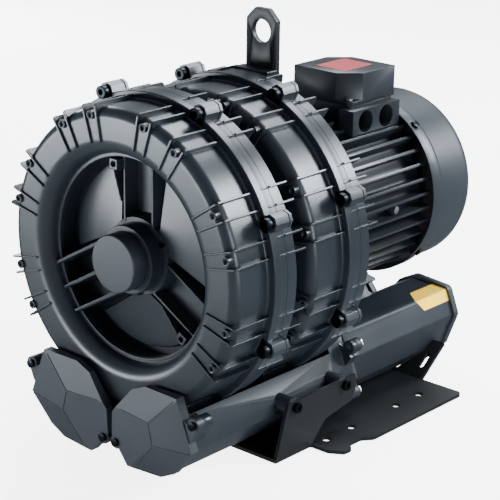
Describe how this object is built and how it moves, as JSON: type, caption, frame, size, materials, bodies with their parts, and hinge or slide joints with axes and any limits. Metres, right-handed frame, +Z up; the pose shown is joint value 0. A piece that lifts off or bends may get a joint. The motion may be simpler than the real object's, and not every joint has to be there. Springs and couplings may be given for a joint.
{
  "type": "side channel blower",
  "caption": "Side channel blower: finned ring stages in line with a fan-cooled motor, silencer boxes beneath, a lifting eye on top and a bent sheet bracket as foot.",
  "frame": {"origin": "centre of the foot-bolt rectangle on the underside of the bracket", "axes": "+Y along the shaft from the front cover to the motor fan, +Z up, +X to the side of the cable entries"},
  "size_m": [0.408, 0.599, 0.53],
  "materials": {
    "bracket_paint": "matte black coating on sheet steel",
    "black_steel": "blackened steel",
    "fan_plastic": "matte",
    "machined_steel": "ground steel",
    "rubber": "matte rubber",
    "bright_steel": "bright steel",
    "cowl_paint": "satin blue-grey paint on sheet steel",
    "foam": "open-cell foam",
    "cap_paint": "matte dark paint on cast aluminium",
    "impeller_alloy": "cast and machined aluminium",
    "motor_paint": "satin dark paint",
    "laminations": "stacked sheet",
    "casting": "satin dark paint on cast aluminium",
    "gasket_paper": "matte sealing sheet",
    "copper": "enamelled copper wire",
    "board_plastic": "moulded board"
  },
  "bodies": {
    "housing": {"base_bracket": "bracket_paint", "bracket_bolts": "black_steel", "cap_screws": "black_steel", "cowl_screws": "black_steel", "drive_bearing_outer": "machined_steel", "drive_shaft_seal": "rubber", "earth_screw": "bright_steel", "eye_bolts": "black_steel", "fan_cowl": "cowl_paint", "foam_liner_left": "foam", "foam_liner_right": "foam", "front_bearing_outer": "machined_steel", "front_shaft_seal": "rubber", "hub_cap": "cap_paint", "hub_screws": "black_steel", "lid_screws": "bright_steel", "lifting_eye": "bracket_paint", "middle_shaft_seal": "rubber", "motor_bolts": "black_steel", "motor_frame": "motor_paint", "rear_bearing_outer": "machined_steel", "rear_end_shield": "motor_paint", "silencer_cap_left": "cap_paint", "silencer_cap_right": "cap_paint", "silencer_housing_left": "casting", "silencer_housing_right": "casting", "silencer_joint_bolts": "bright_steel", "silencer_tube_left": "cap_paint", "silencer_tube_right": "cap_paint", "stage1_casing_bolts": "black_steel", "stage1_front_casing": "casting", "stage1_gasket": "gasket_paper", "stage1_rear_casing": "casting", "stage2_casing_bolts": "black_steel", "stage2_front_casing": "casting", "stage2_gasket": "gasket_paper", "stage2_rear_casing": "casting", "stator_core": "laminations", "stator_windings": "copper", "terminal_board": "board_plastic", "terminal_box_base": "motor_paint", "terminal_box_gasket": "rubber", "terminal_box_lid": "motor_paint"},
    "rotor": {"shaft": "machined_steel", "impeller_1": "impeller_alloy", "impeller_2": "impeller_alloy", "impeller_keys": "machined_steel", "middle_sleeve": "machined_steel", "drive_sleeve": "machined_steel", "shaft_nut": "machined_steel", "front_bearing_inner": "machined_steel", "drive_bearing_inner": "machined_steel", "rear_bearing_inner": "machined_steel", "rotor_core": "laminations", "cooling_fan": "fan_plastic"}
  },
  "joints": [
    {"name": "rotor_spin", "type": "hinge", "parent": "housing", "child": "rotor", "pos_m": [0, 0, 0.255], "axis": [0, 1, 0], "continuous": true}
  ]
}
